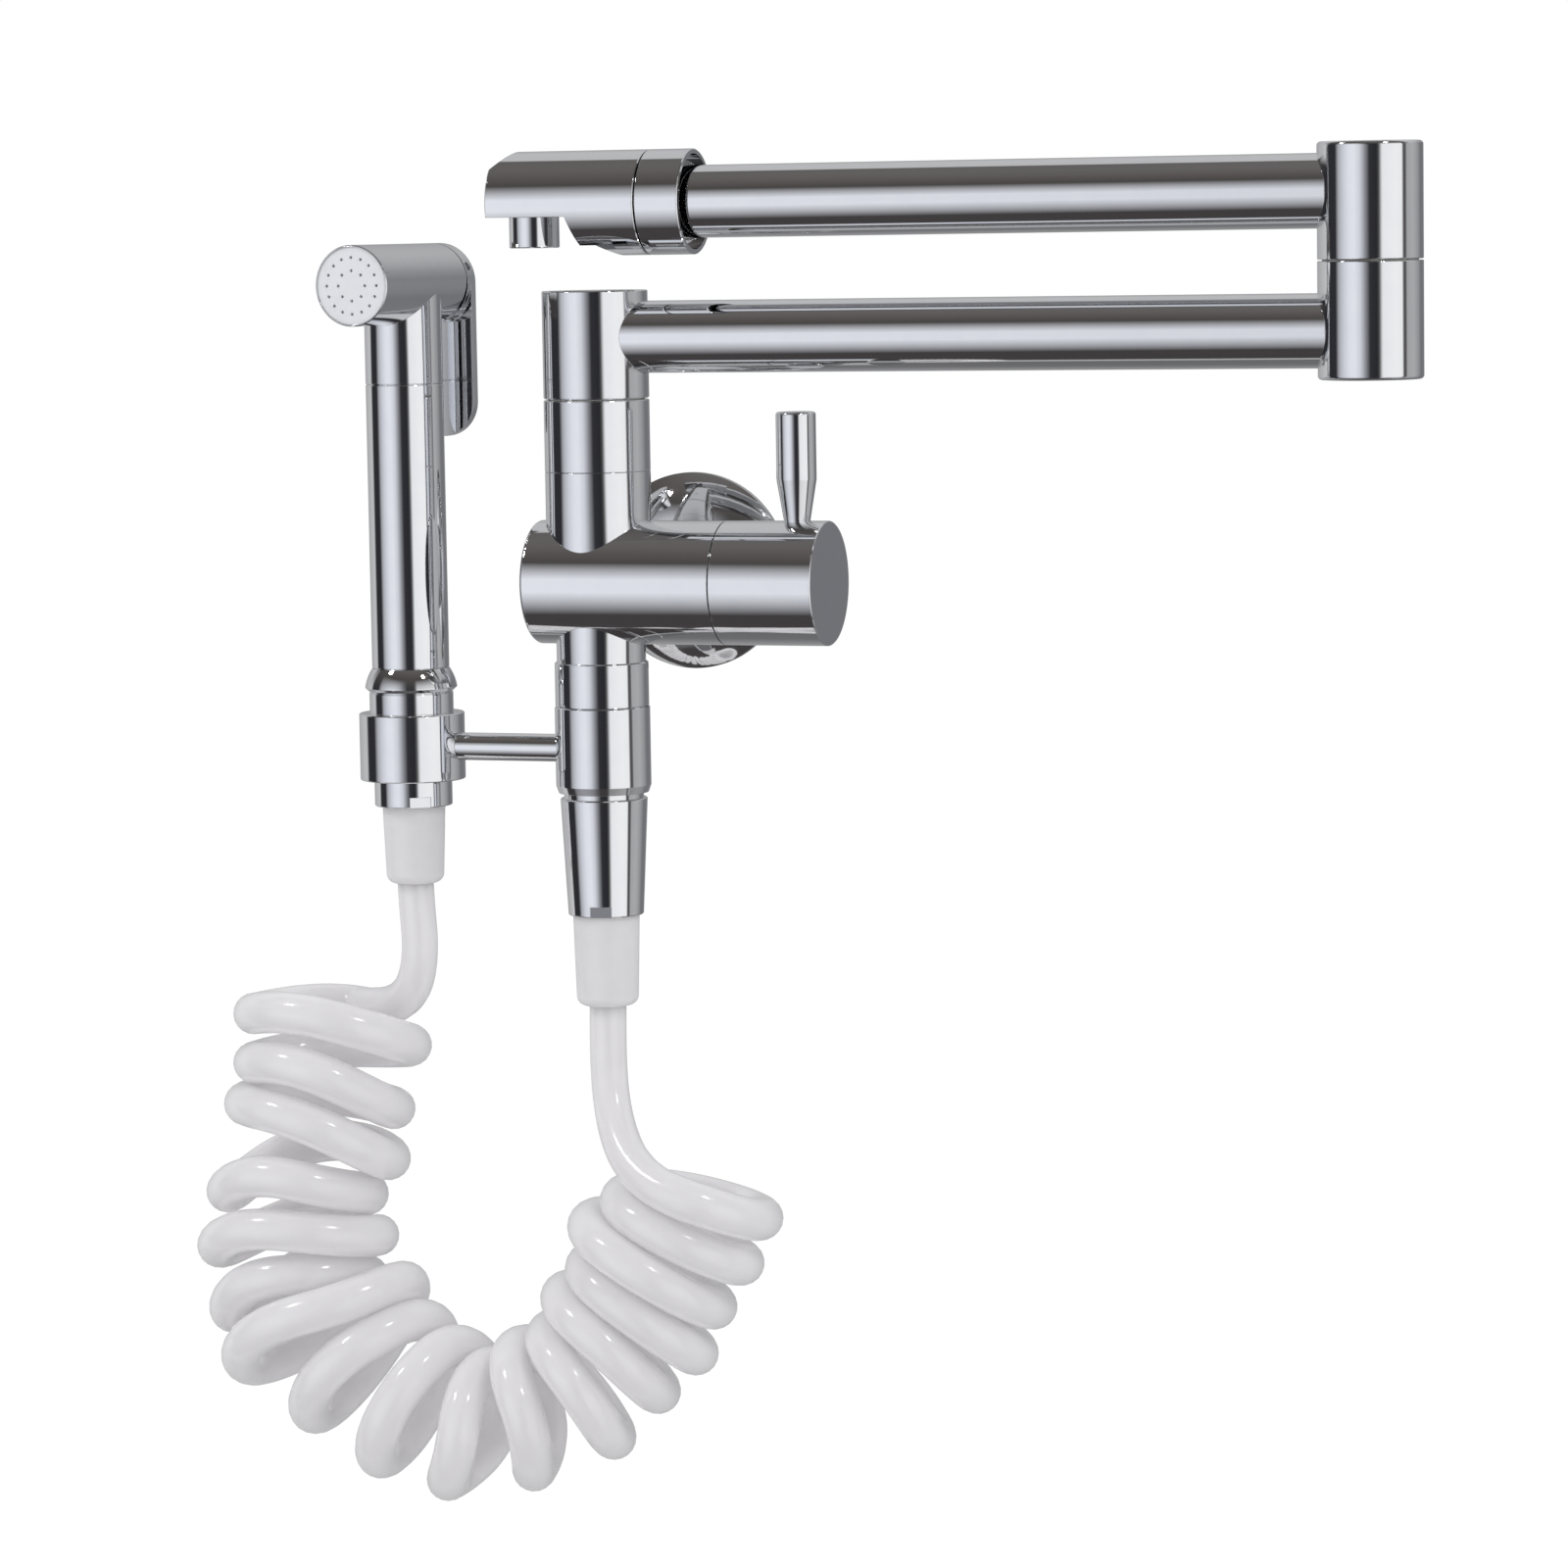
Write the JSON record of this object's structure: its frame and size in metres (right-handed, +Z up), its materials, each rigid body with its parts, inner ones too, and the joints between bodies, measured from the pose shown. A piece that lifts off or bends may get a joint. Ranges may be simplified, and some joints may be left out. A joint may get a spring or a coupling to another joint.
{
  "type": "folding wall tap with hand spray",
  "caption": "Wall-mounted kitchen tap: double-jointed folding spout, side lever, and a hand spray in a ring holder on a curly hose.",
  "frame": {"origin": "on the wall, at the centre of the wall flange's back face, on the inlet nipple's axis", "axes": "+X along the wall towards the elbow of the folded spout, +Y into the wall along the inlet, +Z up"},
  "size_m": [0.396, 0.1075, 0.4213],
  "materials": {
    "chrome": "polished",
    "brass": "machined",
    "steel": "plain",
    "ceramic": "smooth ceramic",
    "rubber": "matte",
    "nylon": "matte",
    "white_plastic": "gloss",
    "milky_plastic": "semi-matte",
    "hose": "gloss, a little see-through"
  },
  "bodies": {
    "faucet_body": {"wall_flange": "chrome", "inlet_nipple": "brass", "inlet_washer": "rubber", "valve_body": "chrome", "cartridge_seal": "rubber", "cartridge_housing": "brass", "ceramic_disc_fixed": "ceramic", "cartridge_nut": "brass", "riser_adapter": "chrome", "riser_seals": "rubber", "riser_thrust_washer": "nylon", "outlet_union": "brass", "outlet_ring": "chrome", "holder_sleeve": "chrome", "holder_rod": "chrome", "holder_clip": "chrome", "hose_nut": "chrome", "tap_hose_washer": "rubber", "hose_connector_tap": "milky_plastic", "curly_hose": "hose"},
    "handle": {"handle_cap": "chrome", "handle_lever": "chrome", "cartridge_spindle": "brass", "ceramic_disc_turning": "ceramic"},
    "lower_arm": {"riser_swivel": "chrome", "riser_grub_screw": "steel", "lower_arm_tube": "chrome", "elbow_lower": "chrome", "elbow_spigot": "brass", "elbow_seals": "rubber", "elbow_thrust_washer": "nylon"},
    "upper_arm": {"elbow_upper": "chrome", "elbow_grub_screw": "steel", "upper_arm_tube": "chrome", "spout_collar": "chrome", "spout_spigot": "brass", "spout_seal": "rubber"},
    "spout_head": {"spout_head": "chrome", "aerator_housing": "chrome", "aerator_insert": "white_plastic", "aerator_washer": "rubber"},
    "handset": {"spray_head": "chrome", "spray_face": "white_plastic", "valve_bush": "brass", "trigger_pin": "steel", "valve_spring": "steel", "handle_tube": "chrome", "handle_ferrule": "chrome", "spray_nut": "chrome", "spray_hose_washer": "rubber", "hose_connector_spray": "milky_plastic"},
    "trigger": {"trigger": "chrome"},
    "valve_stem": {"valve_stem": "steel", "stem_seal": "rubber"}
  },
  "joints": [
    {"name": "handle_turn", "type": "hinge", "parent": "faucet_body", "child": "handle", "pos_m": [0.0538, -0.058, 0], "axis": [1, 0, 0], "range_deg": [0, 90]},
    {"name": "lower_arm_swivel", "type": "hinge", "parent": "faucet_body", "child": "lower_arm", "pos_m": [-0.0105, -0.058, 0.075], "axis": [0, 0, 1], "range_deg": [-125, 8]},
    {"name": "upper_arm_swivel", "type": "hinge", "parent": "lower_arm", "child": "upper_arm", "pos_m": [0.2315, -0.058, 0.0954], "axis": [0, 0, 1], "continuous": true},
    {"name": "head_swivel", "type": "hinge", "parent": "upper_arm", "child": "spout_head", "pos_m": [-0.0105, -0.058, 0.1158], "axis": [1, 0, 0], "range_deg": [-90, 90]},
    {"name": "handset_lift", "type": "slide", "parent": "faucet_body", "child": "handset", "axis": [0, 0, 1], "range_m": [0, 0.06]},
    {"name": "trigger_press", "type": "hinge", "parent": "handset", "child": "trigger", "pos_m": [-0.0717, -0.03612, 0.0969], "axis": [-0.9945, 0.1045, 0], "range_deg": [0, 6], "stiffness_Nm_per_rad": 1.5, "springref_deg": -5.73},
    {"name": "valve_stem_slide", "type": "slide", "parent": "handset", "child": "valve_stem", "axis": [-0.1045, -0.9945, 0], "range_m": [0, 0.00121], "deforming": ["valve_spring"]}
  ],
  "couplings": [
    {"joint": "valve_stem_slide", "follows": "trigger_press", "m_per_rad": 0.0115}
  ]
}
